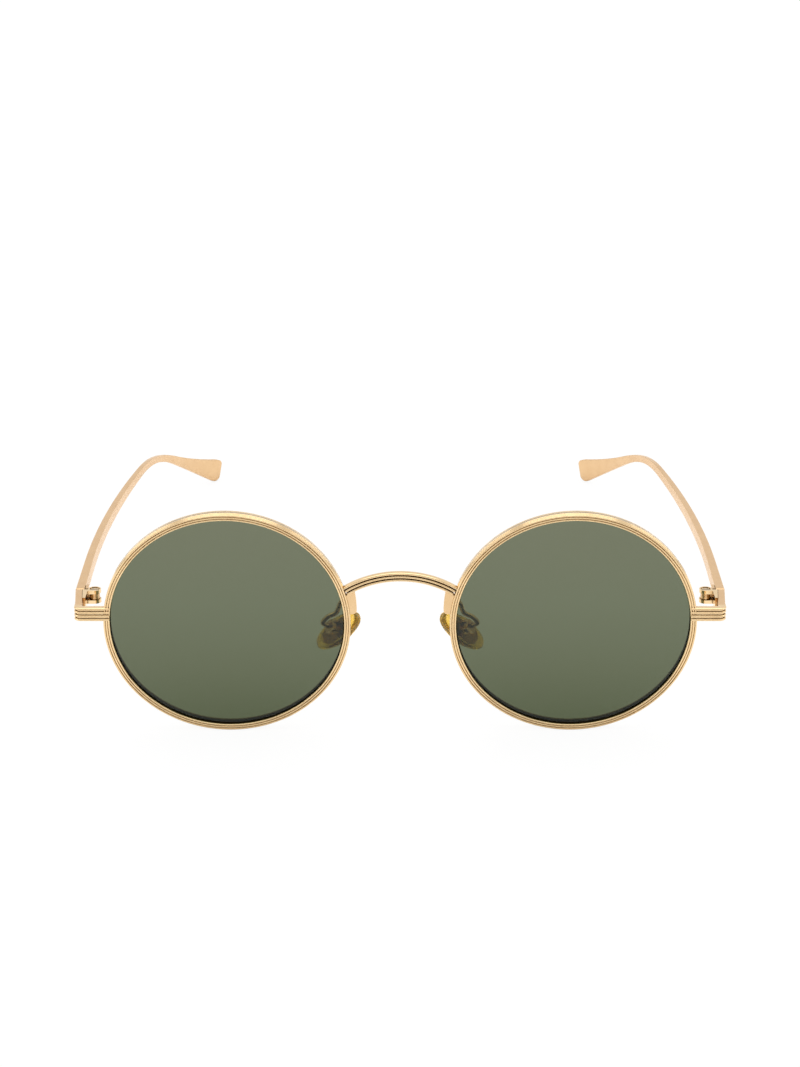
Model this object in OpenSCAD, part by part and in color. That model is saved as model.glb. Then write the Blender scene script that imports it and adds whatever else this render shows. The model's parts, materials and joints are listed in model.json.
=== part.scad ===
// Round wire-frame sunglasses with ribbed metal rims, sprung pad arms and folding temples.
// Millimetres. +X is the wearer's left, the lenses face -Y and the temples run towards +Y.
// The open glasses rest on the plane z = 0, on the two rims and the two temple tips.
// The origin is the bottom centre of the bounding box.

/* [Lenses] */
// Width of each round lens
lens_w = 49.5; // [48:0.5:51]
// Gap between the two lenses at the nose
lens_gap = 22.5; // [21:0.5:24]
// Thickness of each lens
lens_t = 1.5; // [1.3:0.1:1.6]
// Radius of the front surface of each lens
lens_curve_r = 200; // [160:10:300]

/* [Rims and bridge] */
// Radial thickness of the rim wire, ribs included
rim_t = 1.35; // [1.3:0.05:1.5]
// Depth of the rim wire from front to back
rim_w = 2.6; // [2.4:0.1:2.8]
// Radius of the arch of the bridge
bridge_r = 20.5; // [20:0.5:23]
// Height of the top of the bridge above the lens centres
bridge_rise = 11.15; // [10:0.25:12]

/* [End pieces and hinges] */
// How far each end piece stands out past the rim
end_reach = 6.8; // [6.7:0.05:7.2]
// Height of the end pieces and of the hinges
end_h = 2.9; // [2.8:0.1:3.1]
// Distance of the hinge pins behind the lenses
pivot_y = 9.8; // [9.5:0.1:11]

/* [Temples] */
// Tilt of the lens plane against the temples, in degrees
panto_tilt = 8; // [6:0.5:9]
// How far the temples reach behind the lenses
temple_reach = 138.2; // [134:0.2:142]
// Height of the temple at the hinge
temple_h = 2.95; // [2.8:0.05:3.1]
// Height of the flared temple tip
tip_h = 6.2; // [5.4:0.1:6.6]
// How steeply the temple tip drops behind the ear bend, in degrees
tip_drop = 25.5; // [23:0.5:27]

/* [Hidden] */

eps = 0.01;              // overlap that joins two shapes of one solid
touch = 0.05;            // gap between pieces that move against each other

// Lens and rim
lens_r = lens_w / 2;
lens_c = (lens_w + lens_gap) / 2;
lip = 0.4;               // how far the rim's lips cover the lens edge
lens_fit = 0.05;         // gap between the lens and the rim
rim_in = lens_r - lip;
rim_out = rim_in + rim_t;
rim_front_y = -0.9;
rim_back_y = rim_front_y + rim_w;
rim_rib_r = 0.2;         // radius of one of the fine ribs along the rim
rim_rib_step = (rim_t - 2 * rim_rib_r) / 2;
rim_rib_y = rim_front_y + rim_rib_r;
rib_r = 0.25;            // radius of one rib of the bridge or of an end piece
groove_depth = 0.4;      // depth of the grooves between those ribs
bevel_half = lip + lens_fit;
lens_edge_y = -0.35;     // front edge of the lens, ahead of the rim's middle plane
lens_sag = lens_curve_r - sqrt(pow(lens_curve_r, 2) - pow(rim_in, 2));

// Bridge
bridge_h = 2.0;
bridge_t = 1.2;
bridge_front_y = -0.7;
bridge_half_angle = asin((lens_c - rim_in) / bridge_r) + 4;

// End piece: a bar across the front of the rim that turns back into a short leg, splayed outwards
side_x = lens_c + rim_out + end_reach;
leg_splay = 0.75;        // how far the leg widens between its ribs and the hinge
corner_x = side_x - leg_splay;
end_z = 2.4;             // height of the bar's middle above the lens centres
end_t = 1.5;
end_front_y = -1.55;
end_corner_r = 1.5;
end_seam_y = pivot_y - 0.35;
leg_start_y = end_front_y + end_corner_r;
leg_rib_len = 2.0;       // how far the ribs carry on past the corner
rib_end_y = leg_start_y + leg_rib_len;

// Rim lock: two small blocks behind the end piece, drawn together by a screw
split = 0.2;
split_z = end_z - 0.7;
lock_h = 1.15;
lock_x = side_x - 4.6;
lock_back_y = 1.9;
lock_front_y = end_front_y + end_t;
lock_screw_x = side_x - 5.8;
lock_screw_y = 0.95;
lock_screw_r = 0.5;
lock_head_r = 0.75;
lock_head_h = 0.35;

// Temple hinge
pivot_x = side_x - 4.0;
barrel_r = 1.35;
middle_barrel_r = 1.05;
outer_knuckle_h = 0.75;
knuckle_gap = 0.1;
hinge_bottom_z = end_z - end_h / 2;
hinge_top_z = end_z + end_h / 2;
middle_h = end_h - 2 * (outer_knuckle_h + knuckle_gap);
pin_r = 0.6;
pin_fit = 0.05;
pin_head_r = 1.0;
pin_head_h = 0.45;       // depth of the seat for the screw's head
head_sink = 0.15;        // how far the head lies below the top of the hinge
slot_depth = 0.12;
leaf_gap = 0.45;         // gap between the seam and each leaf's plate
front_leaf_y = 4.5;
temple_leaf_t = 0.6;
temple_leaf_len = 2.4;

// Temple: straight, then two arcs in plan; straight, an ear bend and a dropped tip from the side
temple_t = 2.0;          // thickness at the hinge
leaf_x = side_x - temple_t - temple_leaf_t;
neck_t = 1.1;            // thickness at the ear bend
tip_t = 1.15;            // thickness at the tip
straight_y = 26;
wide_arc_r = 395;
wide_arc_end_y = 103;
close_arc_r = 110;
bend_y = 92;
bend_r = 60;
neck_y = 104;
neck_h = 1.65;
flare_power = 2.5;       // how late the tip widens behind the neck
tip_top_r = 1.2;
tip_bottom_r = 2.2;
tip_slant = 10;          // how far the end leans, its lower corner reaching further back
outline_step = 2.5;      // spacing of the outline's points along a curve

// Nose pad, given from the pad screw: +x away from the nose, +z up along the pad
pad_pivot = [13.9, 5.2, -3.0];
pad_lean = 22;
pad_slant = 46;
pad_splay = 40;
pad_len = 13.4;
pad_w = 6.2;
pad_top_w = 5.8;
pad_t = 2.2;
pad_x = -2.2;
pad_z = -1.0;
pad_edge_r = 0.8;
insert_t = 0.5;
insert_len = 8.5;
insert_w = 3.6;
boss_w = 1.0;
boss_r = 0.9;
box_h = 2.4;
box_w = 2.2;
box_front_x = -0.75;
box_back_x = 1.1;
box_wall = 0.5;
pad_screw_r = 0.35;
pad_screw_fit = 0.06;
pad_screw_head_r = 0.65;
pad_screw_head_h = 0.3;

// Pad arm: a tab on the nose side of the rim and a wire that loops back to the pad box
tab_w = 1.8;
tab_reach = 1.3;         // how far the tab stands out past the rim
tab_t = 1.1;
tab_low_z = 3.3;
arm_r = 0.5;
arm_sides = 14;
arm_steps = 4;           // points between two neighbouring bends of the wire

// Resting attitude, from the lowest points of the rim and of the temple tip
function rim_height(lean) = (rim_out - rim_rib_r) * cos(lean) - rim_rib_y * sin(lean) + rim_rib_r;
tip_y = bend_y + bend_r * sin(tip_drop);
tip_z = end_z - bend_r * (1 - cos(tip_drop));
tip_len = (temple_reach - tip_y) / cos(tip_drop);
foot_below = tip_h / 2 - tip_bottom_r;
foot_along = tip_len - tip_bottom_r + foot_below * tan(tip_slant);
foot_y = tip_y + foot_along * cos(tip_drop) - foot_below * sin(tip_drop);
foot_z = tip_z - foot_along * sin(tip_drop) - foot_below * cos(tip_drop);
function slope_for(height) =
    asin((height - tip_bottom_r) / norm([foot_y, foot_z])) - atan2(-foot_z, foot_y);
rest_z = rim_height(panto_tilt - slope_for(rim_out));
temple_slope = slope_for(rest_z);
front_lean = panto_tilt - temple_slope;
// The frontmost point is the rim's top edge and the rearmost is the upper corner of the temple tip,
// whose rounding is centred top_along and top_above from where the dropped tip starts
front_y = rim_rib_y * cos(front_lean) - (rim_out - rim_rib_r) * sin(front_lean) - rim_rib_r;
top_above = tip_h / 2 - tip_top_r;
top_along = tip_len - tip_top_r - top_above * tan(tip_slant);
top_y = tip_y + top_along * cos(tip_drop) + top_above * sin(tip_drop);
top_z = tip_z - top_along * sin(tip_drop) + top_above * cos(tip_drop);
back_y = top_y * cos(temple_slope) + top_z * sin(temple_slope) + tip_top_r;
rest_y = -(front_y + back_y) / 2;

module in_front() {
    translate([0, rest_y, rest_z]) rotate([front_lean, 0, 0]) children();
}

module in_temple() {
    translate([0, rest_y, rest_z]) rotate([-temple_slope, 0, 0]) children();
}

module at_lens() {
    in_front() translate([lens_c, 0, 0]) rotate([-90, 0, 0]) children();
}

module right() {
    mirror([1, 0, 0]) children();
}

// ---- Rims, lenses and bridge ----

// Half section of the rim: x is the radius, y is the depth towards the wearer.
// Three fine ribs lie on the front, the third on the corner, and two more follow it round the side.
module rim_section() {
    side_rib_end_y = rim_rib_y + 2 * rim_rib_step;
    difference() {
        union() {
            translate([rim_in, rim_rib_y]) square([rim_t - rim_rib_r, rim_back_y - rim_rib_y]);
            translate([rim_in, side_rib_end_y])
                square([rim_t - rim_rib_r / 2, rim_back_y - side_rib_end_y]);
            for (i = [0 : 2]) {
                translate([rim_in + rim_rib_r + i * rim_rib_step, rim_rib_y])
                    circle(r = rim_rib_r, $fn = 24);
                translate([rim_out - rim_rib_r, rim_rib_y + i * rim_rib_step])
                    circle(r = rim_rib_r, $fn = 24);
            }
        }
        polygon([
            [rim_in - eps, lip + 2 * lens_fit + eps],
            [rim_in - eps, -lip - 2 * lens_fit - eps],
            [lens_r + 2 * lens_fit, 0]
        ]);
    }
}

// Space filled by the rim and its lens, used to trim whatever is soldered to the rim
module rim_space(back = rim_back_y) {
    at_lens() translate([0, 0, rim_front_y]) cylinder(r = rim_out, h = back - rim_front_y, $fn = 180);
}

module rim() {
    color("gold")
    difference() {
        at_lens() rotate_extrude($fn = 180) rim_section();
        in_temple() translate([lens_c + lens_r - 2 * rim_t, -2 * rim_w, split_z])
            cube([4 * rim_t, 4 * rim_w, split]);
    }
}

module lens_section() {
    edge_r = rim_in - lens_fit;
    front_centre_y = lens_edge_y - lens_sag + lens_curve_r;
    difference() {
        intersection() {
            union() {
                translate([0, lens_edge_y - lens_sag]) square([edge_r, lens_t + 2 * lens_sag]);
                polygon([[edge_r - eps, -bevel_half], [lens_r, 0], [edge_r - eps, bevel_half]]);
            }
            translate([0, front_centre_y]) circle(r = lens_curve_r, $fn = 1440);
        }
        translate([0, front_centre_y + lens_t]) circle(r = lens_curve_r, $fn = 1440);
        mirror([1, 0]) translate([0, -lens_r]) square([lens_r, 2 * lens_r]);
    }
}

module lens() {
    color("darkolivegreen", 0.8)
    at_lens() rotate_extrude($fn = 180) lens_section();
}

// A ribbed bar's section: x = 0 is the crest of the ribs, and the body lies behind it
module ribbed_section(height, depth, rib_count) {
    step = (height - 2 * rib_r) / (rib_count - 1);
    translate([-depth, -height / 2]) square([depth - groove_depth, height]);
    for (i = [0 : rib_count - 1]) {
        translate([-rib_r, -height / 2 + rib_r + i * step]) {
            circle(r = rib_r, $fn = 32);
            translate([rib_r - groove_depth - eps, -rib_r])
                square([groove_depth - rib_r + eps, 2 * rib_r]);
        }
    }
}

module bridge() {
    color("gold")
    difference() {
        in_front() translate([0, bridge_front_y, bridge_rise - bridge_r]) rotate([90, 0, 0])
            rotate([0, 0, 90 - bridge_half_angle])
                rotate_extrude(angle = 2 * bridge_half_angle, $fn = 180)
                    translate([bridge_r, 0]) rotate(90) ribbed_section(bridge_h, bridge_t, 3);
        rim_space();
        right() rim_space();
    }
}

// ---- End pieces and rim locks ----

// Outer face of the splayed leg in plan
function leg_face(y) = corner_x + leg_splay * (y - rib_end_y) / (end_seam_y - rib_end_y);

module end_piece() {
    bar_end_x = corner_x - end_corner_r;
    color("gold")
    difference() {
        in_temple() {
            translate([bar_end_x, end_front_y, end_z]) rotate([90, 0, -90])
                linear_extrude(bar_end_x - lens_c - rim_in) ribbed_section(end_h, end_t, 4);
            translate([bar_end_x, leg_start_y, end_z]) rotate([0, 0, -90])
                rotate_extrude(angle = 90, $fn = 96)
                    translate([end_corner_r, 0]) ribbed_section(end_h, end_t, 4);
            translate([corner_x, rib_end_y, end_z]) rotate([90, 0, 0])
                linear_extrude(leg_rib_len) ribbed_section(end_h, end_t, 4);
            translate([0, 0, hinge_bottom_z]) linear_extrude(end_h) polygon([
                [corner_x - end_t, rib_end_y], [corner_x, rib_end_y],
                [side_x, end_seam_y], [side_x - end_t, end_seam_y]
            ]);
        }
        rim_space();
    }
}

// One block of the rim lock, from the lowest height given upwards
module lock_block(bottom_z) {
    block_x = lens_c + lens_r;
    difference() {
        in_temple() translate([block_x, lock_front_y, bottom_z])
            cube([lock_x - block_x, lock_back_y - lock_front_y, lock_h]);
        rim_space(lock_back_y);
    }
}

module rim_lock_upper() {
    color("goldenrod")
    difference() {
        lock_block(split_z + split);
        in_temple() translate([lock_screw_x, lock_screw_y, split_z - eps])
            cylinder(r = lock_screw_r + pin_fit, h = lock_h, $fn = 32);
    }
}

module rim_lock_lower() {
    bottom_z = split_z - lock_h;
    color("goldenrod")
    difference() {
        lock_block(bottom_z);
        in_temple() translate([lock_screw_x, lock_screw_y, bottom_z - eps]) {
            cylinder(r = lock_screw_r + pin_fit, h = lock_h + 2 * eps, $fn = 32);
            cylinder(r = lock_head_r + pin_fit, h = lock_head_h + eps, $fn = 32);
        }
    }
}

module rim_lock_screw() {
    bottom_z = split_z - lock_h;
    color("silver")
    in_temple() translate([lock_screw_x, lock_screw_y, bottom_z])
    difference() {
        union() {
            cylinder(r = lock_head_r, h = lock_head_h, $fn = 32);
            cylinder(r = lock_screw_r, h = 2 * lock_h - lock_head_h, $fn = 32);
        }
        translate([-lock_head_r, -0.1, -eps]) cube([2 * lock_head_r, 0.2, slot_depth + eps]);
    }
}

// ---- Hinges ----

module hinge_pin_space(extra = pin_fit) {
    translate([pivot_x, pivot_y, hinge_bottom_z - eps])
        cylinder(r = pin_r + extra, h = end_h + 2 * eps, $fn = 48);
}

// A knuckle with the arm that carries it; side is -1 for an arm in front of the pin, 1 behind it
module knuckle(radius, bottom_z, height, side, arm_end_x) {
    arm_y = side < 0 ? pivot_y - radius : pivot_y + touch;
    translate([pivot_x, pivot_y, bottom_z]) cylinder(r = radius, h = height, $fn = 48);
    translate([pivot_x, arm_y, bottom_z]) cube([arm_end_x - pivot_x + eps, radius - touch, height]);
}

module front_hinge() {
    plate_end_y = end_seam_y - touch;
    color("goldenrod")
    in_temple()
    difference() {
        union() {
            knuckle(barrel_r, hinge_bottom_z, outer_knuckle_h, -1, leaf_x);
            knuckle(barrel_r, hinge_top_z - outer_knuckle_h, outer_knuckle_h, -1, leaf_x);
            // The plate lies against the inner face of the splayed leg
            translate([0, 0, hinge_bottom_z]) linear_extrude(end_h) polygon([
                [leaf_x, front_leaf_y], [leg_face(front_leaf_y) - end_t - eps, front_leaf_y],
                [leg_face(plate_end_y) - end_t - eps, plate_end_y], [leaf_x, plate_end_y]
            ]);
        }
        hinge_pin_space();
        translate([pivot_x, pivot_y, hinge_top_z - pin_head_h])
            cylinder(r = pin_head_r + pin_fit, h = pin_head_h + eps, $fn = 48);
    }
}

module temple_hinge() {
    color("goldenrod")
    in_temple()
    difference() {
        union() {
            knuckle(middle_barrel_r, end_z - middle_h / 2, middle_h, 1, leaf_x);
            translate([leaf_x, end_seam_y + leaf_gap, hinge_bottom_z])
                cube([temple_leaf_t, temple_leaf_len, end_h]);
        }
        hinge_pin_space();
    }
}

module hinge_screw() {
    color("silver")
    in_temple()
    difference() {
        union() {
            translate([pivot_x, pivot_y, hinge_bottom_z])
                cylinder(r = pin_r, h = end_h - head_sink, $fn = 48);
            translate([pivot_x, pivot_y, hinge_top_z - pin_head_h])
                cylinder(r = pin_head_r, h = pin_head_h - head_sink, $fn = 48);
        }
        translate([pivot_x - pin_head_r, pivot_y - 0.12, hinge_top_z - head_sink - slot_depth])
            cube([2 * pin_head_r, 0.24, end_h]);
    }
}

// ---- Temples ----

wide_arc_turn = asin((wide_arc_end_y - straight_y) / wide_arc_r);
close_arc_turn = asin(sin(wide_arc_turn) + (temple_reach + 3 - wide_arc_end_y) / close_arc_r);

function wide_arc_point(a) = [-wide_arc_r * (1 - cos(a)), straight_y + wide_arc_r * sin(a)];
function close_arc_point(a) =
    wide_arc_point(wide_arc_turn)
    + close_arc_r * [cos(a) - cos(wide_arc_turn), sin(a) - sin(wide_arc_turn)];

// Stations along the temple's outer face in plan: [x from the outermost face, y, turn inwards]
function plan_stations() = concat(
    [[0, end_seam_y + touch, 0]],
    [for (i = [0 : ceil(wide_arc_turn * wide_arc_r * PI / 180 / outline_step)])
        let (a = min(wide_arc_turn, i * outline_step / wide_arc_r * 180 / PI), p = wide_arc_point(a))
        [p.x, p.y, a]],
    [for (i = [1 : ceil((close_arc_turn - wide_arc_turn) * close_arc_r * PI / 180 / outline_step)])
        let (a = min(close_arc_turn, wide_arc_turn + i * outline_step / close_arc_r * 180 / PI),
             p = close_arc_point(a))
        [p.x, p.y, a]]
);

function thickness_at(y) = y < neck_y
    ? temple_t + (neck_t - temple_t) * (y / neck_y)
    : neck_t + (tip_t - neck_t) * min(1, (y - neck_y) / (temple_reach - neck_y));

module temple_plan() {
    stations = plan_stations();
    outer = [for (s = stations) [s.x, s.y]];
    inner = [for (s = stations) [s.x, s.y] - thickness_at(s.y) * [cos(s.z), sin(s.z)]];
    first = [inner[0], [-temple_t, end_seam_y + leaf_gap + temple_leaf_len]];
    inner_back = [for (i = [len(inner) - 1 : -1 : 1]) inner[i]];
    polygon(concat(outer, inner_back, [first[1], [-temple_t, first[0].y]]));
}

function height_at(y) = y < neck_y
    ? temple_h + (neck_h - temple_h) * pow((y - end_seam_y) / (neck_y - end_seam_y), 2)
    : neck_h + (tip_h - neck_h) * pow(min(1, (y - neck_y) / (temple_reach - neck_y)), flare_power);

// Stations along the temple's middle line from the side: [y, z, drop angle]
function side_stations() = concat(
    [for (i = [0 : 12]) [end_seam_y + touch + i * (bend_y - end_seam_y - touch) / 12, end_z, 0]],
    [for (i = [1 : 8])
        let (a = tip_drop * i / 8)
        [bend_y + bend_r * sin(a), end_z - bend_r * (1 - cos(a)), a]],
    [for (i = [1 : 12])
        let (d = (tip_len - tip_bottom_r) * i / 12)
        [tip_y + d * cos(tip_drop), tip_z - d * sin(tip_drop), tip_drop]]
);

function side_edge(way) = [
    for (s = side_stations()) [s.x, s.y] + way * height_at(s.x) / 2 * [sin(s.z), cos(s.z)]
];

// Rounded corner of the tip's slanted end; way is 1 for the upper corner and -1 for the lower
function tip_corner(radius, way) =
    let (centre_up = way * (tip_h / 2 - radius))
    let (centre_along = tip_len - radius - centre_up * tan(tip_slant))
    [for (i = [0 : 8])
        let (a = (90 - way * tip_slant) * i / 8, along = centre_along + radius * sin(a),
             up = centre_up + way * radius * cos(a))
        [tip_y + along * cos(tip_drop) + up * sin(tip_drop),
         tip_z - along * sin(tip_drop) + up * cos(tip_drop)]];

function reversed(list) = [for (i = [len(list) - 1 : -1 : 0]) list[i]];

module temple_side() {
    polygon(concat(
        side_edge(1), tip_corner(tip_top_r, 1),
        reversed(tip_corner(tip_bottom_r, -1)), reversed(side_edge(-1))
    ));
}

module temple() {
    color("burlywood")
    in_temple()
    intersection() {
        translate([side_x, 0, -temple_reach]) linear_extrude(2 * temple_reach) temple_plan();
        rotate([90, 0, 90]) linear_extrude(side_x + temple_t) temple_side();
    }
}

// ---- Nose pads ----

module at_pad() {
    in_temple() translate(pad_pivot)
        rotate([pad_lean, -pad_slant, 0]) rotate([0, 0, -pad_splay]) children();
}

// A flat round button with rounded edges, its faces square to x
module button(diameter) {
    rotate([0, 90, 0]) rotate_extrude($fn = 32) hull() {
        translate([0, -pad_t / 2]) square([diameter / 2 - pad_edge_r, pad_t]);
        for (y = [-1, 1]) {
            translate([diameter / 2 - pad_edge_r, y * (pad_t / 2 - pad_edge_r)])
                circle(r = pad_edge_r, $fn = 16);
        }
    }
}

module pad_insert_shape() {
    half = (insert_len - insert_w) / 2;
    translate([pad_x, 0, pad_z]) {
        for (way = [-1, 1]) {
            translate([0, 0, way * half]) rotate([0, 90, 0])
                cylinder(r = insert_w / 2, h = insert_t, $fn = 48);
        }
        translate([0, -insert_w / 2, -half]) cube([insert_t, insert_w, 2 * half]);
    }
    translate([pad_x, -boss_w / 2, -boss_r * 0.7]) cube([-pad_x, boss_w, boss_r * 1.4]);
    translate([0, boss_w / 2, 0]) rotate([90, 0, 0]) cylinder(r = boss_r, h = boss_w, $fn = 48);
}

module nose_pad() {
    top_z = pad_z + (pad_len - pad_top_w) / 2;
    low_z = pad_z - (pad_len - pad_w) / 2;
    color("orange", 0.8)
    at_pad()
    difference() {
        hull() {
            translate([pad_x, 0, low_z]) button(pad_w);
            translate([pad_x, 0, top_z]) button(pad_top_w);
        }
        pad_insert_shape();
    }
}

module pad_insert() {
    color("gold")
    at_pad()
    difference() {
        pad_insert_shape();
        translate([0, boss_w, 0]) rotate([90, 0, 0])
            cylinder(r = pad_screw_r + pad_screw_fit, h = 2 * boss_w, $fn = 32);
    }
}

module pad_screw() {
    color("silver")
    at_pad() rotate([90, 0, 0])
    difference() {
        union() {
            translate([0, 0, -box_w / 2]) cylinder(r = pad_screw_r, h = box_w + eps, $fn = 32);
            translate([0, 0, box_w / 2]) cylinder(r = pad_screw_head_r, h = pad_screw_head_h, $fn = 32);
        }
        translate([-pad_screw_head_r, -0.08, box_w / 2 + pad_screw_head_h - slot_depth])
            cube([2 * pad_screw_head_r, 0.16, 2 * slot_depth]);
    }
}

// The wire's bends, in the temples' directions; the last one lies in the back wall of the pad box
arm_bends = [
    [9.9, -0.3, 4.0], [9.9, 1.8, 4.4], [11.3, 3.6, 4.4], [12.6, 4.8, 2.4],
    [13.4, 4.9, 0.4], [15.2, 4.4, -0.4], [16.2, 3.8, -1.5], [14.85, 4.4, -2.48]
];

// Smooth curve through the bends (Catmull-Rom)
function bend(i) = arm_bends[max(0, min(len(arm_bends) - 1, i))];
function curve(i, t) =
    0.5 * (2 * bend(i) + (bend(i + 1) - bend(i - 1)) * t
    + (2 * bend(i - 1) - 5 * bend(i) + 4 * bend(i + 1) - bend(i + 2)) * t * t
    + (3 * bend(i) - bend(i - 1) - 3 * bend(i + 1) + bend(i + 2)) * t * t * t);
function arm_path() = concat(
    [for (i = [0 : len(arm_bends) - 2], k = [0 : arm_steps - 1]) curve(i, k / arm_steps)],
    [arm_bends[len(arm_bends) - 1]]
);
function unit(v) = v / norm(v);

module arm_wire() {
    path = arm_path();
    last = len(path) - 1;
    rings = [
        for (i = [0 : last])
            let (along = unit(path[min(last, i + 1)] - path[max(0, i - 1)]),
                 side = unit(cross(along, [1, 0.4, 0])), up = cross(side, along))
            for (k = [0 : arm_sides - 1])
                path[i] + arm_r * (cos(360 * k / arm_sides) * side + sin(360 * k / arm_sides) * up)
    ];
    walls = [
        for (i = [0 : last - 1], k = [0 : arm_sides - 1])
            let (next = (k + 1) % arm_sides)
            [i * arm_sides + k, i * arm_sides + next, (i + 1) * arm_sides + next, (i + 1) * arm_sides + k]
    ];
    start_cap = [for (k = [arm_sides - 1 : -1 : 0]) k];
    end_cap = [for (k = [0 : arm_sides - 1]) last * arm_sides + k];
    polyhedron(points = rings, faces = concat(walls, [start_cap, end_cap]));
}

module pad_box() {
    difference() {
        translate([box_front_x, -box_w / 2, -box_h / 2])
            cube([box_back_x + box_wall - box_front_x, box_w, box_h]);
        translate([box_front_x - eps, -boss_w / 2 - touch, -box_h])
            cube([box_back_x - box_front_x + eps, boss_w + 2 * touch, 2 * box_h]);
        translate([0, box_w, 0]) rotate([90, 0, 0])
            cylinder(r = pad_screw_r + pad_screw_fit, h = 2 * box_w, $fn = 32);
    }
}

module arm_tab() {
    tab_x = lens_c - rim_out - tab_reach;
    difference() {
        intersection() {
            in_front() translate([tab_x, -tab_t / 2, 0]) {
                translate([0, 0, tab_low_z]) cube([2 * tab_w, tab_t, bridge_rise - tab_low_z]);
                translate([tab_w / 2, 0, tab_low_z]) rotate([-90, 0, 0])
                    cylinder(r = tab_w / 2, h = tab_t, $fn = 48);
                translate([tab_w / 2, 0, tab_low_z - tab_w / 2]) cube([tab_w, tab_t, tab_w]);
            }
            // The tab's top follows the underside of the bridge
            in_front() translate([0, 0, bridge_rise - bridge_r]) rotate([90, 0, 0])
                cylinder(r = bridge_r - bridge_h / 2, h = 2 * tab_t, center = true, $fn = 180);
        }
        rim_space();
    }
}

module pad_arm() {
    color("goldenrod") {
        arm_tab();
        difference() {
            in_temple() arm_wire();
            rim_space();
        }
        at_pad() pad_box();
    }
}

rim();  // rim_left
right() rim();  // rim_right
bridge();
end_piece();  // end_piece_left
right() end_piece();  // end_piece_right
rim_lock_upper();  // rim_lock_upper_left
right() rim_lock_upper();  // rim_lock_upper_right
rim_lock_lower();  // rim_lock_lower_left
right() rim_lock_lower();  // rim_lock_lower_right
rim_lock_screw();  // rim_lock_screw_left
right() rim_lock_screw();  // rim_lock_screw_right
lens();  // lens_left
right() lens();  // lens_right
pad_arm();  // pad_arm_left
right() pad_arm();  // pad_arm_right
pad_screw();  // pad_screw_left
right() pad_screw();  // pad_screw_right
nose_pad();  // nose_pad_left
right() nose_pad();  // nose_pad_right
pad_insert();  // pad_insert_left
right() pad_insert();  // pad_insert_right
front_hinge();  // front_hinge_left
right() front_hinge();  // front_hinge_right
hinge_screw();  // hinge_screw_left
right() hinge_screw();  // hinge_screw_right
temple_hinge();  // temple_hinge_left
right() temple_hinge();  // temple_hinge_right
temple();  // temple_left
right() temple();  // temple_right
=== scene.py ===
"""Looks of the round wire-frame sunglasses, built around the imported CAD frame.

Sizes are in millimetres in two sets of directions that the frame gives: "front" lies in the plane of
the rims (x sideways, y back through the lens, z up in the rim plane) and "temple" lies along the
temples. Both start midway between the two lens centres. place() turns them into metres in the row frame.
"""

import json
import math

import bmesh
import bpy
import numpy as np
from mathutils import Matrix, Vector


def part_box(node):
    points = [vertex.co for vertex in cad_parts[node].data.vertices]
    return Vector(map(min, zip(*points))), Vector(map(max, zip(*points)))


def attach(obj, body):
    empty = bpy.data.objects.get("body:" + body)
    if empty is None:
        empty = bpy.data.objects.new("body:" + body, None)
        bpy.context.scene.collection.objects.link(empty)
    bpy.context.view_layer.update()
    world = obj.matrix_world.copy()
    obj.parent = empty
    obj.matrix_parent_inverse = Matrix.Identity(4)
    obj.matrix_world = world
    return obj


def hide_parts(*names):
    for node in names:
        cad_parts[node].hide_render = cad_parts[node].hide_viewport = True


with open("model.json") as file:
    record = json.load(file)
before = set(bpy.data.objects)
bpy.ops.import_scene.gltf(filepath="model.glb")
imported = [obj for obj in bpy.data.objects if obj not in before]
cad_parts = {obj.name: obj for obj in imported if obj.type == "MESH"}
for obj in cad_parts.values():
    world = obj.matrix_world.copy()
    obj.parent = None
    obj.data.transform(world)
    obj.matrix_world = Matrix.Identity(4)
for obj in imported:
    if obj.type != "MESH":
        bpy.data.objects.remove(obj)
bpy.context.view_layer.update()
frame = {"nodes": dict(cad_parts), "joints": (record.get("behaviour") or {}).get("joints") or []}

MM = 0.001

# ---------------------------------------------------------------- directions from the frame


def node_points(node):
    """The vertices of a CAD node at rest, in metres."""
    mesh = frame["nodes"][node].data
    points = np.zeros(len(mesh.vertices) * 3)
    mesh.vertices.foreach_get("co", points)
    return points.reshape(-1, 3)


class Directions:
    """An origin in metres with three unit vectors; local sizes are in millimetres."""

    def __init__(self, origin, x, y, z):
        self.origin = np.array(origin, float)
        self.axes = np.array([x, y, z], float)

    def place(self, points):
        return self.origin + MM * np.asarray(points, float) @ self.axes

    def moved(self, offset, turn):
        """Directions moved by an offset and turned by a 3x3 matrix, both given in these directions."""
        return Directions(self.place(offset), *(turn.T @ self.axes))


def front_directions():
    """The rim plane: its normal is the thinnest direction of the rim's points."""
    points = node_points("rim_left")
    spread = points - points.mean(axis=0)
    normal = np.linalg.svd(spread, full_matrices=False)[2][2]
    normal *= np.sign(normal[1])
    normal[0] = 0
    normal /= np.linalg.norm(normal)
    side = np.array([1.0, 0, 0])
    up = np.cross(side, normal)
    depth = (points @ normal).min() - RIM_FRONT_Y * MM
    height = ((points @ up).min() + (points @ up).max()) / 2
    return Directions(depth * normal + height * up, side, normal, up)


def temple_directions():
    """The temples: up is the axis that the left temple folds about."""
    fold = next(j for j in frame["joints"] if j["name"] == "left_temple_fold")
    up = np.array(fold["axis"], float)
    up /= np.linalg.norm(up)
    side = np.array([1.0, 0, 0])
    return Directions(front.origin, side, np.cross(up, side), up)


def turn_matrix(x_deg=0, y_deg=0, z_deg=0):
    """Turns about x, then y, then z."""
    cx, cy, cz = (math.cos(math.radians(a)) for a in (x_deg, y_deg, z_deg))
    sx, sy, sz = (math.sin(math.radians(a)) for a in (x_deg, y_deg, z_deg))
    about_x = np.array([[1, 0, 0], [0, cx, -sx], [0, sx, cx]])
    about_y = np.array([[cy, 0, sy], [0, 1, 0], [-sy, 0, cy]])
    about_z = np.array([[cz, -sz, 0], [sz, cz, 0], [0, 0, 1]])
    return about_z @ about_y @ about_x


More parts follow.
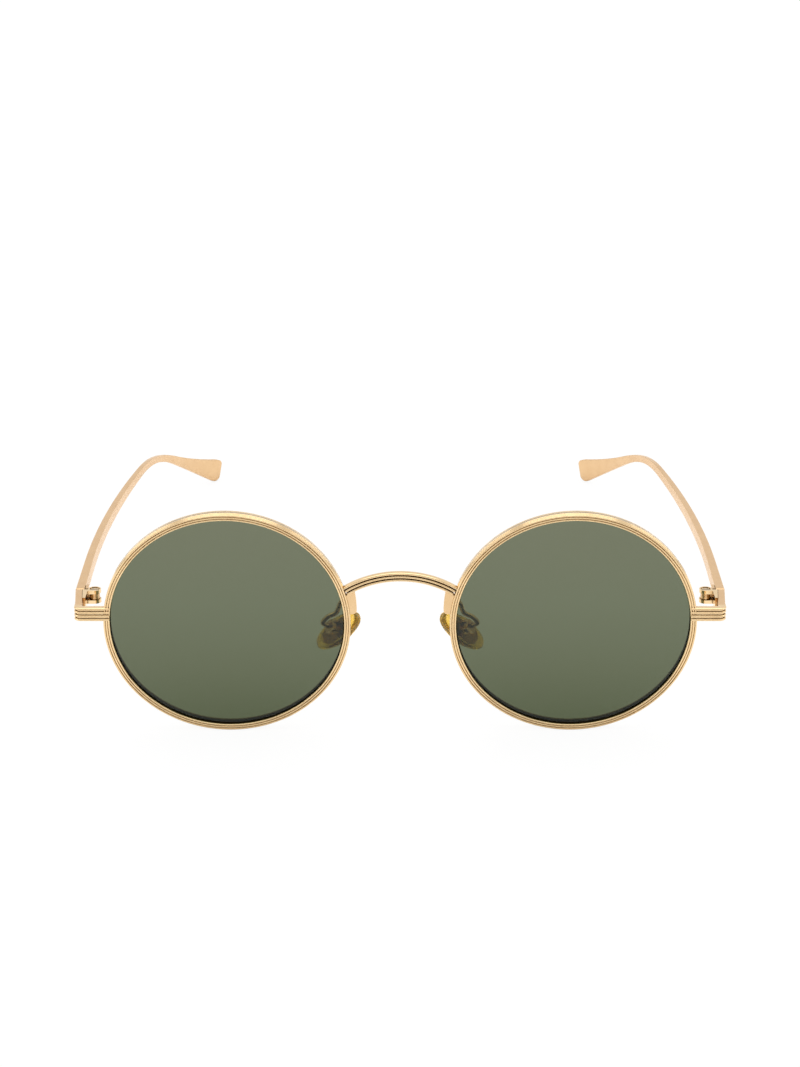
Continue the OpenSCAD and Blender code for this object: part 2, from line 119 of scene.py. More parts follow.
# ---------------------------------------------------------------- sizes, in millimetres

RIM_T = 1.35                                          # width of the rim wire, seen from the front
RIM_W = 2.6                                           # its depth
RIM_FRONT_Y = -0.9
RIM_BACK_Y = RIM_FRONT_Y + RIM_W

front = front_directions()
temple = temple_directions()

rim_low, rim_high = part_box("rim_left")
LENS_C = (rim_low.x + rim_high.x) / 2 / MM           # lens centre, sideways
RIM_OUT = (rim_high.x - rim_low.x) / 2 / MM
RIM_IN = RIM_OUT - RIM_T
RIM_RIB_R = 0.2                                       # radius of the fine ribs along the rim
RIM_RIB_STEP = (RIM_T - 2 * RIM_RIB_R) / 2
RIM_BACK_R = 0.3                                      # rounding of the rim's outer back edge
RIM_INNER_R = 0.2                                     # rounding of its inner back edge
RIM_STEPS = 288
LENS_T = 1.5
LENS_CURVE_R = 200.0
LENS_EDGE_Y = -0.35                                   # depth of the lens's front face at the rim
LENS_FIT = 0.05                                       # clearance between lens and rim
LIP = 0.4                                             # how far the lens's bevel reaches into the rim
LENS_STEPS = 192

BRIDGE_R = 20.5
BRIDGE_RISE = 11.15                                   # top of the arch's middle line
BRIDGE_H = 2.0
BRIDGE_T = 1.2
BRIDGE_FRONT_Y = -0.7

SIDE_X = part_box("temple_left")[1].x / MM              # outermost face of the temple
END_Z = 2.4                                           # middle height of end pieces and temples
END_H = 2.9
END_T = 1.5
END_FRONT_Y = -1.55
END_CORNER_R = 1.5
SEAM_Y = 9.45                                         # where the end piece's leg meets the temple
LEG_RIB_LEN = 2.0
LEG_SPLAY = 0.75                                      # how far the leg widens from its ribs to the hinge
SEAM_GAP = 0.05
BAR_RIB_R = 0.25                                      # radius of the ribs of bridge and end pieces
BAR_GROOVE = 0.4                                      # depth of the grooves between them
RIB_FADE = 0.6                                        # length over which the ribs fade into the leg
BRUSHED_Y = 0.2                                       # behind this the end piece is brushed
SPLIT_Z = 1.7                                         # where the rim is cut behind the end piece
SPLIT = 0.2                                           # width of that cut

TEMPLE_T = 2.0
NECK_T = 1.1
TIP_T = 1.15
TEMPLE_H = 2.95
NECK_H = 1.65
TIP_H = 6.2
FLARE_POWER = 2.5                                     # more keeps the tip narrow for longer
TEMPLE_REACH = 138.2
STRAIGHT_Y = 26.0                                     # seen from above: straight, a wide and a close arc
WIDE_ARC_R = 395.0
WIDE_ARC_END_Y = 103.0
CLOSE_ARC_R = 110.0
BEND_Y = 92.0                                         # seen from the side: where the ear bend starts
BEND_R = 60.0
NECK_Y = 104.0                                        # where the strip is at its smallest
TIP_DROP = math.radians(25.5)
TIP_TOP_R = 1.2
TIP_BOTTOM_R = 2.2
TIP_SLANT = math.radians(10)
SLANT_LEN = 9.0                                       # length over which the sections start to lean
TIP_EDGE_R = 0.3                                      # rounding of the tip's end face
TEMPLE_EDGE_R = 0.22
SEAM_EDGE = 0.08                                      # broken edge at the temple's front end

PAD_PIVOT = (13.9, 5.2, -3.0)                         # middle of the pad's screw
PAD_LEAN, PAD_SLANT, PAD_SPLAY = 22, 46, 40
PAD_LEN = 13.4
PAD_W = 6.2
PAD_TOP_W = 5.8
PAD_T = 2.2
PAD_X = -2.2                                          # middle of the pad, from its screw
PAD_Z = -1.0
BOX_W = 2.2                                           # the box that holds the pad's boss
BOX_H = 2.4
BOX_FRONT_X, BOX_BACK_X, BOX_WALL = -0.75, 1.1, 0.5
CHEEK_GAP = 1.1                                       # between the two cheeks of the box

TAB_W = 1.8
TAB_REACH = 1.3                                       # how far the tab stands out past the rim
TAB_T = 1.1
TAB_LOW_Z = 3.3
TAB_BELLY = 0.02                                      # how much narrower the tab gets towards the bridge
ARM_R = 0.5
ARM_BENDS = (                                         # the wire's way from the tab to the box
    (9.9, -0.3, 4.0), (9.9, 1.8, 4.4), (11.3, 3.6, 4.4), (12.6, 4.8, 2.4),
    (13.4, 4.9, 0.4), (15.2, 4.4, -0.4), (16.2, 3.8, -1.5), (14.85, 4.4, -2.48),
)

pad = temple.moved(PAD_PIVOT, turn_matrix(PAD_LEAN, -PAD_SLANT) @ turn_matrix(z_deg=-PAD_SPLAY))

# ---------------------------------------------------------------- mesh helpers

HARD_EDGE_DEG = 40                                    # a sharper fold than this is an edge


def arc(centre, radius, start_deg, end_deg, steps):
    """Points along an arc, both ends included."""
    angles = np.radians(np.linspace(start_deg, end_deg, steps + 1))
    return np.column_stack([centre[0] + radius * np.cos(angles), centre[1] + radius * np.sin(angles)])


def loft(rings):
    """Vertices and faces of a skin over rings, an array of (ring, point, 3), closed at both ends."""
    count, around = rings.shape[:2]
    faces = []
    for i in range(count - 1):
        a, b = i * around, (i + 1) * around
        for k in range(around):
            n = (k + 1) % around
            faces.append((a + k, a + n, b + n, b + k))
    faces.append(tuple(range(around))[::-1])
    faces.append(tuple((count - 1) * around + k for k in range(around)))
    return rings.reshape(-1, 3), faces


def turned(section, angles, centre_x=0.0, centre_z=0.0):
    """Rings of a section, radius and depth, turned about an axis that runs along y."""
    rings = np.empty((len(angles), len(section), 3))
    rings[:, :, 0] = centre_x + np.cos(angles)[:, None] * section[:, 0]
    rings[:, :, 1] = section[:, 1]
    rings[:, :, 2] = centre_z + np.sin(angles)[:, None] * section[:, 0]
    return rings


def joined(*shells):
    """Several closed shells, each (vertices, faces), as one."""
    vertices, faces, start = [], [], 0
    for points, polygons in shells:
        vertices.append(points)
        faces += [tuple(start + i for i in polygon) for polygon in polygons]
        start += len(points)
    return np.vstack(vertices), faces


def mirrored(shell):
    """The same shell on the other side, its faces turned so that they still look outwards."""
    points, faces = shell
    return points * (-1, 1, 1), [polygon[::-1] for polygon in faces]


def piece(name, shell, material, body, stands_for, slot, sharp_deg=HARD_EDGE_DEG, bevel=0.0, second=None):
    """A new piece of the object from a shell in metres, with outward faces and smooth shading.

    second is a material and a test of the face's number that says which faces wear it.
    """
    mesh = bpy.data.meshes.new(name)
    mesh.from_pydata(shell[0].tolist(), [], shell[1])
    build = bmesh.new()
    build.from_mesh(mesh)
    bmesh.ops.recalc_face_normals(build, faces=build.faces)
    build.to_mesh(mesh)
    build.free()
    mesh.shade_smooth()
    mesh.set_sharp_from_angle(angle=math.radians(sharp_deg))
    mesh.materials.append(material)
    if second:
        mesh.materials.append(second[0])
        for polygon in mesh.polygons:
            polygon.material_index = int(second[1](polygon.index))
    made = bpy.data.objects.new(name, mesh)
    bpy.context.scene.collection.objects.link(made)
    if bevel:
        add_bevel(made, bevel)
    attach(made, body)
    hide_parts(*stands_for)


def add_bevel(target, width_mm):
    """Rounds the hard edges of a piece or of a CAD node."""
    bevel = target.modifiers.new("rounded_edges", "BEVEL")
    bevel.width = width_mm * MM
    bevel.segments = 3
    bevel.limit_method = "ANGLE"
    bevel.angle_limit = math.radians(HARD_EDGE_DEG)


def both_sides(name, shell, material, body, slot, **options):
    """The left piece and its mirror image. A body called front carries both; others are named by side."""
    for side, mesh in (("left", shell), ("right", mirrored(shell))):
        carrier = body if body == "front" else f"{side}_{body}"
        piece(f"{name}_{side}_skin", mesh, material, carrier, [f"{name}_{side}"], slot, **options)


# ---------------------------------------------------------------- material helpers

WHITE = (1.0, 1.0, 1.0)
EVEN = (1, 1, 1)                                      # grain that is the same along every axis
ALONG_TEMPLE = (1.0, 0.12, 1.0)                       # grain drawn out along the temple
GROOVE_SHADE_REACH = 0.5                                    # size of the grooves and corners that get painted shade, in millimetres
# colour of the painted shade in grooves and corners
PAINTED_GROOVE_SHADE = (0.075, 0.034, 0.010)


class Nodes:
    """A small builder for the node tree of a material, or of a world."""

    def __init__(self, owner, coordinates="Object"):
        self.owner = owner
        owner.use_nodes = True
        self.tree = owner.node_tree
        self.tree.nodes.clear()
        self.coordinates = self.add("ShaderNodeTexCoord").outputs[coordinates]

    def add(self, kind, **settings):
        made = self.tree.nodes.new(kind)
        for key, value in settings.items():
            setattr(made, key, value)
        return made

    def feed(self, value, target):
        """Gives an input a number, a colour or the output of another node."""
        if isinstance(value, bpy.types.NodeSocket):
            self.tree.links.new(value, target)
        elif isinstance(value, tuple):
            target.default_value = (*value, 1)
        else:
            target.default_value = value

    def shader(self, kind, **values):
        """A shader node with some of its inputs fed; an underscore in a name stands for a space."""
        made = self.add(kind)
        for key, value in values.items():
            self.feed(value, made.inputs[key.replace("_", " ")])
        return made

    def stretched(self, scale):
        """Coordinates in millimetres, multiplied per axis."""
        mapping = self.add("ShaderNodeMapping")
        mapping.inputs["Scale"].default_value = [s / MM for s in scale]
        self.feed(self.coordinates, mapping.inputs["Vector"])
        return mapping.outputs["Vector"]

    def noise(self, per_mm, detail=3.0, stretch=(1, 1, 1), roughness=0.5):
        """Noise with about per_mm features in a millimetre, stretched per axis."""
        made = self.add("ShaderNodeTexNoise")
        made.inputs["Scale"].default_value = per_mm
        made.inputs["Detail"].default_value = detail
        made.inputs["Roughness"].default_value = roughness
        self.feed(self.stretched(stretch), made.inputs["Vector"])
        return made.outputs["Fac"]

    def ramp(self, factor, stops):
        """A colour ramp from (position, colour) pairs; a grey may be given as one number."""
        made = self.add("ShaderNodeValToRGB")
        elements = made.color_ramp.elements
        while len(elements) < len(stops):
            elements.new(0.5)
        for element, (position, colour) in zip(elements, stops):
            element.position = position
            element.color = (colour, colour, colour, 1) if isinstance(colour, float) else (*colour, 1)
        self.feed(factor, made.inputs["Fac"])
        return made.outputs["Color"]

    def share_along(self, axis, low, high):
        """0 up to the coordinate low on an axis, and 1 from high on."""
        split = self.add("ShaderNodeSeparateXYZ")
        self.feed(self.coordinates, split.inputs["Vector"])
        share = self.add("ShaderNodeMapRange")
        share.inputs["From Min"].default_value = low
        share.inputs["From Max"].default_value = high
        self.feed(split.outputs[axis], share.inputs["Value"])
        return share.outputs["Result"]

    def maths(self, operation, first, second):
        """One step of arithmetic on two numbers or outputs."""
        made = self.add("ShaderNodeMath", operation=operation)
        self.feed(first, made.inputs[0])
        self.feed(second, made.inputs[1])
        return made.outputs["Value"]

    def openness(self, reach_mm):
        """1 on open faces, falling towards 0 deep in a groove or a corner of about this size."""
        made = self.add("ShaderNodeAmbientOcclusion", samples=8)
        made.inputs["Distance"].default_value = reach_mm * MM
        return made.outputs["AO"]

    def blended(self, factor, low, high):
        """Colour low where the factor is 0, high where it is 1."""
        made = self.add("ShaderNodeMix", data_type="RGBA")
        self.feed(factor, made.inputs["Factor"])
        self.feed(low, made.inputs["A"])
        self.feed(high, made.inputs["B"])
        return made.outputs["Result"]

    def mixed(self, factor, low, high):
        """Shader low where the factor is 0, high where it is 1."""
        made = self.add("ShaderNodeMixShader")
        self.feed(factor, made.inputs["Fac"])
        self.feed(low.outputs[0], made.inputs[1])
        self.feed(high.outputs[0], made.inputs[2])
        return made

    def bump(self, height, strength, depth_mm):
        made = self.add("ShaderNodeBump")
        made.inputs["Strength"].default_value = strength
        made.inputs["Distance"].default_value = depth_mm * MM
        self.feed(height, made.inputs["Height"])
        return made.outputs["Normal"]

    def finish(self, shader, output="ShaderNodeOutputMaterial"):
        """Makes a shader the surface and returns the material or world."""
        self.feed(shader.outputs[0], self.add(output).inputs["Surface"])
        return self.owner


class Finish:
    """Two near plate colours and the range of roughness."""

    def __init__(self, light, dark, rough_low, rough_high):
        self.light, self.dark = light, dark
        self.rough_low, self.rough_high = rough_low, rough_high

    def sockets(self, nodes, drift, wear):
        """The colour, which drifts slowly, and the roughness, which wear makes uneven."""
        colour = nodes.ramp(drift, [(0.3, self.dark), (0.7, self.light)])
        return colour, nodes.ramp(wear, [(0.35, self.rough_low), (0.72, self.rough_high)])


def metal(name, finish, grain=14, grain_depth=0.004, stretch=EVEN, groove=(0.32, 0.62), behind=None):
    """Plated metal: slow colour drift, uneven roughness, a fine grain in the bump and painted dark shade in
    grooves and corners.

    groove is the openness below which a face is all painted groove shade and above which it is all metal.
    behind is a second finish, which takes over within a millimetre behind BRUSHED_Y.
    """
    nodes = Nodes(bpy.data.materials.new(name))
    drift = nodes.noise(0.25, detail=4)
    wear = nodes.noise(1.1, detail=5, roughness=0.6)
    colour, rough = finish.sockets(nodes, drift, wear)
    if behind:
        change_y = temple.place((0, BRUSHED_Y, END_Z))[1]
        share = nodes.share_along("Y", change_y, change_y + MM)
        colour_behind, rough_behind = behind.sockets(nodes, drift, wear)
        colour = nodes.blended(share, colour, colour_behind)
        rough = nodes.blended(share, rough, rough_behind)
    normal = nodes.bump(nodes.noise(grain, detail=2, stretch=stretch), 0.5, grain_depth)
    plate = nodes.shader(
        "ShaderNodeBsdfPrincipled", Metallic=1.0, Base_Color=colour, Roughness=rough, Normal=normal
    )
    # painted shade: a dull dark brown that ambient occlusion puts into grooves and corners
    painted_shade = nodes.shader("ShaderNodeBsdfDiffuse", Color=PAINTED_GROOVE_SHADE)
    unshaded_share = nodes.ramp(nodes.openness(GROOVE_SHADE_REACH), [(groove[0], 0.0), (groove[1], 1.0)])
    return nodes.finish(nodes.mixed(unshaded_share, painted_shade, plate))


def lens_material():
    """A grey-green tint, lighter towards the top, with a faint coated sheen; light passes straight on.

    Tint and sheen belong to the face where a ray enters, so the face where it leaves adds nothing.
    """
    nodes = Nodes(bpy.data.materials.new("tinted_lens"))
    tint = nodes.ramp(nodes.share_along("Z", 0.0, 2 * RIM_OUT * MM), [
        (0.0, (0.082, 0.100, 0.050)), (0.3, (0.112, 0.130, 0.072)),
        (0.6, (0.135, 0.154, 0.092)), (1.0, (0.153, 0.165, 0.103))
    ])
    leaving = nodes.add("ShaderNodeNewGeometry").outputs["Backfacing"]
    through = nodes.shader("ShaderNodeBsdfTransparent", Color=nodes.blended(leaving, tint, WHITE))
    smudges = nodes.bump(nodes.noise(0.1, detail=4), 0.2, 0.02)
    sheen = nodes.shader("ShaderNodeBsdfGlossy", Color=(0.92, 1.0, 0.93), Roughness=0.02, Normal=smudges)
    mirror = nodes.shader("ShaderNodeFresnel", IOR=1.42).outputs["Fac"]
    share = nodes.maths("MULTIPLY", mirror, nodes.maths("SUBTRACT", 1.0, leaving))
    return nodes.finish(nodes.mixed(share, through, sheen))


def pad_material():
    """Clear amber plastic, a little cloudy, with a slightly uneven, softly worn surface."""
    cloudiness = 0.20
    nodes = Nodes(bpy.data.materials.new("amber_pad"))
    cloud = nodes.noise(0.5, detail=3)
    rough = nodes.ramp(nodes.noise(1.6, detail=4), [(0.35, 0.03), (0.75, 0.12)])
    clear = nodes.shader(
        "ShaderNodeBsdfPrincipled", Transmission_Weight=1.0, IOR=1.50, Roughness=rough,
        Base_Color=nodes.ramp(cloud, [(0.3, (0.97, 0.60, 0.09)), (0.7, (1.0, 0.70, 0.14))]),
        Normal=nodes.bump(nodes.noise(3.0, detail=2), 0.15, 0.02)
    )
    milky = nodes.ramp(cloud, [(0.3, (1.0, 0.66, 0.10)), (0.7, (1.0, 0.76, 0.18))])
    cloudy = nodes.shader("ShaderNodeBsdfDiffuse", Color=milky)
    return nodes.finish(nodes.mixed(cloudiness, clear, cloudy))


def floor_material():
    """Plain pale paper with a faint tooth, lit so that the camera sees hardly any shadow on it."""
    lit_share = 0.92
    nodes = Nodes(bpy.data.materials.new("pale_paper"))
    tone = nodes.ramp(nodes.noise(0.02, detail=4), [(0.3, 0.86), (0.7, 0.88)])
    paper = nodes.shader(
        "ShaderNodeBsdfPrincipled", Base_Color=tone, Roughness=0.9, Specular_IOR_Level=0.1,
        Normal=nodes.bump(nodes.noise(2.0), 0.1, 0.02)
    )
    lit = nodes.shader("ShaderNodeEmission", Color=WHITE)
    camera_ray = nodes.add("ShaderNodeLightPath").outputs["Is Camera Ray"]
    return nodes.finish(nodes.mixed(nodes.maths("MULTIPLY", camera_ray, lit_share), paper, lit))


# ---------------------------------------------------------------- materials

POLISH = Finish((0.82, 0.61, 0.35), (0.78, 0.56, 0.31), 0.10, 0.20)
BRUSH = Finish((0.71, 0.48, 0.26), (0.67, 0.44, 0.23), 0.30, 0.42)
# dark bronze painted shade for the rim's inner wall beside the lens
WALL_SHADE = Finish((0.30, 0.19, 0.09), (0.25, 0.15, 0.07), 0.25, 0.40)
WIRE = Finish((0.74, 0.52, 0.29), (0.69, 0.47, 0.25), 0.18, 0.28)
# dark bronze painted shade for the pad's metal core
CORE_SHADE = Finish((0.36, 0.23, 0.09), (0.26, 0.16, 0.06), 0.08, 0.18)
STEEL = Finish((0.74, 0.58, 0.38), (0.64, 0.50, 0.33), 0.18, 0.32)

POLISHED = metal("polished_gold", POLISH, groove=(0.42, 0.78))
RIM_GOLD = metal("rim_gold", POLISH, groove=(0.02, 0.40))
RIM_WALL_SHADE = metal("rim_wall_shade", WALL_SHADE)
END_GOLD = metal("end_piece_gold", POLISH, groove=(0.26, 0.62), behind=BRUSH)
ARM_GOLD = metal("pad_arm_gold", WIRE, grain=12, grain_depth=0.006)
SATIN = metal("satin_gold", BRUSH, grain=10, grain_depth=0.02, stretch=ALONG_TEMPLE)
INSERT_SHADE = metal("insert_gold", CORE_SHADE, grain=12)
SCREW = metal("screw_steel", STEEL, grain=12, grain_depth=0.006)
LENS = lens_material()
PAD = pad_material()

# ---------------------------------------------------------------- rims and lenses


def rim_section():
    """Outline of the rim wire, radius and depth: three fine ribs in front, two outside, a groove inside."""
    first_y = RIM_FRONT_Y + RIM_RIB_R
    inner_x = RIM_IN + RIM_RIB_R
    side_x = RIM_OUT - RIM_RIB_R
    ribs = (
        ((inner_x, first_y), 180, 385, 10),
        ((inner_x + RIM_RIB_STEP, first_y), 155, 385, 10),
        ((side_x, first_y), 155, 475, 14),
        ((side_x, first_y + RIM_RIB_STEP), -115, 115, 10),
        ((side_x, first_y + 2 * RIM_RIB_STEP), -115, 60, 8)
    )
    parts = [arc(centre, RIM_RIB_R, start, end, steps) for centre, start, end, steps in ribs]
    back_x = RIM_OUT - RIM_RIB_R / 2 - RIM_BACK_R
    parts.append(arc((back_x, RIM_BACK_Y - RIM_BACK_R), RIM_BACK_R, 0, 90, 4))
    parts.append(arc((RIM_IN + RIM_INNER_R, RIM_BACK_Y - RIM_INNER_R), RIM_INNER_R, 90, 180, 3))
    groove = LIP + 2 * LENS_FIT
    parts.append([(RIM_IN, groove), (RIM_IN + groove, 0), (RIM_IN, -LIP)])
    return np.vstack(parts)


def on_inner_wall(face):
    """Whether a face of the rim lies beside the lens, where the dark painted shade goes: on one of the last
    four edges of the outline.
    """
    around = len(rim_section())
    return face % around >= around - 4


def rim():
    """The rim wire round the lens, split at the rim lock."""
    gap_half = SPLIT / 2 / RIM_OUT
    lock_angle = math.asin((SPLIT_Z + SPLIT / 2) / RIM_OUT)
    angles = np.linspace(lock_angle + gap_half, lock_angle - gap_half + 2 * math.pi, RIM_STEPS + 1)
    points, faces = loft(turned(rim_section(), angles, LENS_C))
    return front.place(points), faces


def lens():
    """A thin meniscus with a bevel round its edge that sits in the rim's groove."""
    middle_r = 0.4                                    # inside this the faces are flat
    chamfer, chamfer_depth = 0.12, 0.1
    blunt = 0.02                                      # the bevel's crest is this far from sharp
    edge = RIM_IN - LENS_FIT
    bevel = LIP + LENS_FIT
    crest = edge + bevel - blunt
    sag = LENS_CURVE_R - math.sqrt(LENS_CURVE_R**2 - RIM_IN**2)
    radii = np.linspace(middle_r, edge - chamfer, 26)
    front_y = LENS_EDGE_Y - sag + LENS_CURVE_R - np.sqrt(LENS_CURVE_R**2 - radii**2)
    back_y = front_y + LENS_T
    section = np.vstack([
        np.column_stack([radii, front_y]),
        [(edge, front_y[-1] + chamfer_depth), (edge, -bevel + chamfer), (crest, -blunt)],
        [(crest, blunt), (edge, bevel), (edge, back_y[-1] - chamfer_depth)],
        np.column_stack([radii, back_y])[::-1]
    ])
    angles = np.linspace(0, 2 * math.pi, LENS_STEPS + 1)[:-1]
    rings = turned(section, angles, LENS_C)
    around = len(section)
    faces = []
    for i in range(LENS_STEPS):
        a, b = i * around, (i + 1) % LENS_STEPS * around
        faces += [(a + k, b + k, b + k + 1, a + k + 1) for k in range(around - 1)]
    faces.append(tuple(i * around for i in range(LENS_STEPS)))
    faces.append(tuple(i * around + around - 1 for i in range(LENS_STEPS)))
    return front.place(rings.reshape(-1, 3)), faces


# ---------------------------------------------------------------- bridge and end pieces


def ribbed_outline(height, depth, ribs, relief=1.0, corner=0.2):
    """Outline of a ribbed bar: crests at x = 0, body behind. relief 0 fills the grooves."""
    step = (height - 2 * BAR_RIB_R) / (ribs - 1)
    points = []
    for i in range(ribs):
        middle = -height / 2 + BAR_RIB_R + i * step
        rib = arc((-BAR_RIB_R, middle), BAR_RIB_R, -90, 90, 10).tolist()
        if i > 0:
            rib.insert(0, (-BAR_GROOVE, middle - BAR_RIB_R))
        if i < ribs - 1:
            rib.append((-BAR_GROOVE, middle + BAR_RIB_R))
        for x, y in rib:
            filled = (y < middle and i > 0) or (y > middle and i < ribs - 1)
            points.append((x * (relief if filled else 1), y))
    points += arc((-depth + corner, height / 2 - corner), corner, 90, 180, 4).tolist()
    points += arc((-depth + corner, -height / 2 + corner), corner, 180, 270, 4).tolist()
    return np.array(points)


def bridge():
    """A three-ribbed arch between the rims; each end runs a little way into the rim it is soldered to."""
    solder_reach = 1.0
    outline = ribbed_outline(BRIDGE_H, BRIDGE_T, 3)
    section = np.column_stack([BRIDGE_R + outline[:, 1], BRIDGE_FRONT_Y - outline[:, 0]])
    reach = math.asin((LENS_C - RIM_OUT + solder_reach) / BRIDGE_R)
    angles = math.pi / 2 - np.linspace(-reach, reach, 73)
    points, faces = loft(turned(section, angles, centre_z=BRIDGE_RISE - BRIDGE_R))
    return front.place(points), faces


def end_piece():
    """A four-ribbed bar that lies over the rim, turns the corner and runs back, splayed, to the seam."""
    cover_t = 0.62                                    # thickness of the part that lies over the rim
    step = 0.01                                       # length of the step to the full thickness
    rim_clearance = 0.1
    leg_x = SIDE_X - LEG_SPLAY
    corner_x, corner_y = leg_x - END_CORNER_R, END_FRONT_Y + END_CORNER_R
    start_x = LENS_C + RIM_IN
    cover_end_x = LENS_C + RIM_OUT + rim_clearance
    stations = [(x, END_FRONT_Y, 0, cover_t, 1.0) for x in (start_x, start_x + 0.5, start_x + 1.0)]
    stations.append((cover_end_x - step, END_FRONT_Y, 0, cover_t, 1.0))
    stations.append((cover_end_x, END_FRONT_Y, 0, END_T, 1.0))
    for turn in np.radians(np.linspace(0, 90, 17)):
        x = corner_x + END_CORNER_R * math.sin(turn)
        stations.append((x, corner_y - END_CORNER_R * math.cos(turn), turn, END_T, 1.0))
    rib_end = corner_y + LEG_RIB_LEN
    for left in np.linspace(RIB_FADE, 0, 7):
        stations.append((leg_x, rib_end - left, math.pi / 2, END_T, left / RIB_FADE))
    for share in np.linspace(0.1, 1, 8):
        y = rib_end + share * (SEAM_Y - rib_end)
        stations.append((leg_x + share * LEG_SPLAY, y, math.pi / 2, END_T, 0.0))
    rings = []
    for x, y, turn, depth, relief in stations:
        section = ribbed_outline(END_H, depth, 4, relief)
        outward = np.array([math.sin(turn), -math.cos(turn)])
        plan = (x, y) + section[:, :1] * outward
        rings.append(np.column_stack([plan, END_Z + section[:, 1]]))
    points, faces = loft(np.array(rings))
    return temple.place(points), faces


# ---------------------------------------------------------------- temples


def plan_curve(y):
    """Sideways place of the temple's outer face, from its outermost, and its turn inwards, at each y."""
    wide_turn = math.asin((WIDE_ARC_END_Y - STRAIGHT_Y) / WIDE_ARC_R)
    wide = np.arcsin(np.clip((y - STRAIGHT_Y) / WIDE_ARC_R, 0, math.sin(wide_turn)))
    close = np.arcsin(math.sin(wide_turn) + np.clip(y - WIDE_ARC_END_Y, 0, None) / CLOSE_ARC_R)
    turn = np.where(y < WIDE_ARC_END_Y, wide, close)
    x = -WIDE_ARC_R * (1 - np.cos(wide))
    x = x - np.where(y < WIDE_ARC_END_Y, 0, CLOSE_ARC_R * (math.cos(wide_turn) - np.cos(close)))
    return x, turn


def side_curve(y):
    """Height of the temple's middle line and its drop angle at each y."""
    tip_y = BEND_Y + BEND_R * math.sin(TIP_DROP)
    drop = np.arcsin(np.clip((y - BEND_Y) / BEND_R, 0, math.sin(TIP_DROP)))
    z = END_Z - BEND_R * (1 - np.cos(drop)) - np.clip(y - tip_y, 0, None) * math.tan(TIP_DROP)
    return z, drop


def temple_height(y):
    """Height of the strip: it shrinks to the neck and flares behind it."""
    ahead = TEMPLE_H + (NECK_H - TEMPLE_H) * np.clip((y - SEAM_Y) / (NECK_Y - SEAM_Y), 0, 1) ** 2
    along = np.clip((y - NECK_Y) / (TEMPLE_REACH - NECK_Y), 0, 1)
    behind = NECK_H + (TIP_H - NECK_H) * along ** FLARE_POWER
    return np.where(y < NECK_Y, ahead, behind)


def temple_thickness(y):
    """Thickness of the strip, thinnest at the neck."""
    ahead = TEMPLE_T + (NECK_T - TEMPLE_T) * y / NECK_Y
    behind = NECK_T + (TIP_T - NECK_T) * np.clip((y - NECK_Y) / (TEMPLE_REACH - NECK_Y), 0, 1)
    return np.where(y < NECK_Y, ahead, behind)


def rounded_bar(thickness, top, bottom, radius):
    """Outline of a flat bar with rounded edges: depth from the outer face, and height."""
    corners = (
        ((radius, bottom + radius), 180, 270), ((thickness - radius, bottom + radius), 270, 360),
        ((thickness - radius, top - radius), 0, 90), ((radius, top - radius), 90, 180)
    )
    return np.vstack([arc(centre, radius, start, end, 6) for centre, start, end in corners])


def temple_bar():
    """One flat strip that thins towards the ear bend and flares into a rounded tip."""
    far = 99.0                                        # stands for any place well ahead of the end
    first = 0.8                                       # first station of the straight part behind the bend
    tip_y = BEND_Y + BEND_R * math.sin(TIP_DROP)
    tip_len = (TEMPLE_REACH - tip_y) / math.cos(TIP_DROP)
    start_y = SEAM_Y + SEAM_GAP
    ahead = np.concatenate([[start_y, start_y + SEAM_EDGE], np.linspace(start_y + 1, tip_y, 76)])
    rounding = np.sin(np.radians(np.linspace(0, 90, 12)))
    corner_start = tip_len - TIP_BOTTOM_R
    along_tip = np.concatenate([
        np.linspace(first, corner_start, 34), corner_start + TIP_BOTTOM_R * rounding[1:]
    ])
    ys = np.concatenate([ahead, tip_y + along_tip * math.cos(TIP_DROP)])
    to_end = np.concatenate([np.full(len(ahead), far), tip_len - along_tip])
    rings = []
    for y, left in zip(ys, to_end):
        height = float(temple_height(min(y, TEMPLE_REACH - TIP_BOTTOM_R)))
        depth = float(temple_thickness(y))
        top = height / 2 - corner_loss(left, TIP_TOP_R)
        bottom = -height / 2 + corner_loss(left, TIP_BOTTOM_R)
        inset = SEAM_EDGE if y == start_y else corner_loss(left, TIP_EDGE_R)
        section = rounded_bar(depth - 2 * inset, top - inset, bottom + inset, TEMPLE_EDGE_R)
        lean = math.tan(TIP_SLANT) * max(0.0, 1 - left / SLANT_LEN)
        rings.append(strip_points(y, section[:, 1], section[:, 0] + inset, lean))
    points, faces = loft(np.array(rings))
    return temple.place(points), faces


def corner_loss(left, radius):
    """How much a corner of this radius has taken off the height, this far from the end."""
    return radius - math.sqrt(max(0.0, radius**2 - max(0.0, radius - left) ** 2))


def strip_points(y, height, depth, lean):
    """Points of the strip at station y: height along the sloping section, depth in from the outer face.

    A section that leans has its lower edge further back.
    """
    middle_z, drop = side_curve(y - lean * height * math.cos(TIP_DROP))
    ys = y - lean * height * np.cos(drop) + height * np.sin(drop)
    x, turn = plan_curve(ys)
    return np.column_stack([
        SIDE_X + x - depth * np.cos(turn), ys - depth * np.sin(turn), middle_z + height * np.cos(drop)
    ])


# ---------------------------------------------------------------- nose pads and their arms


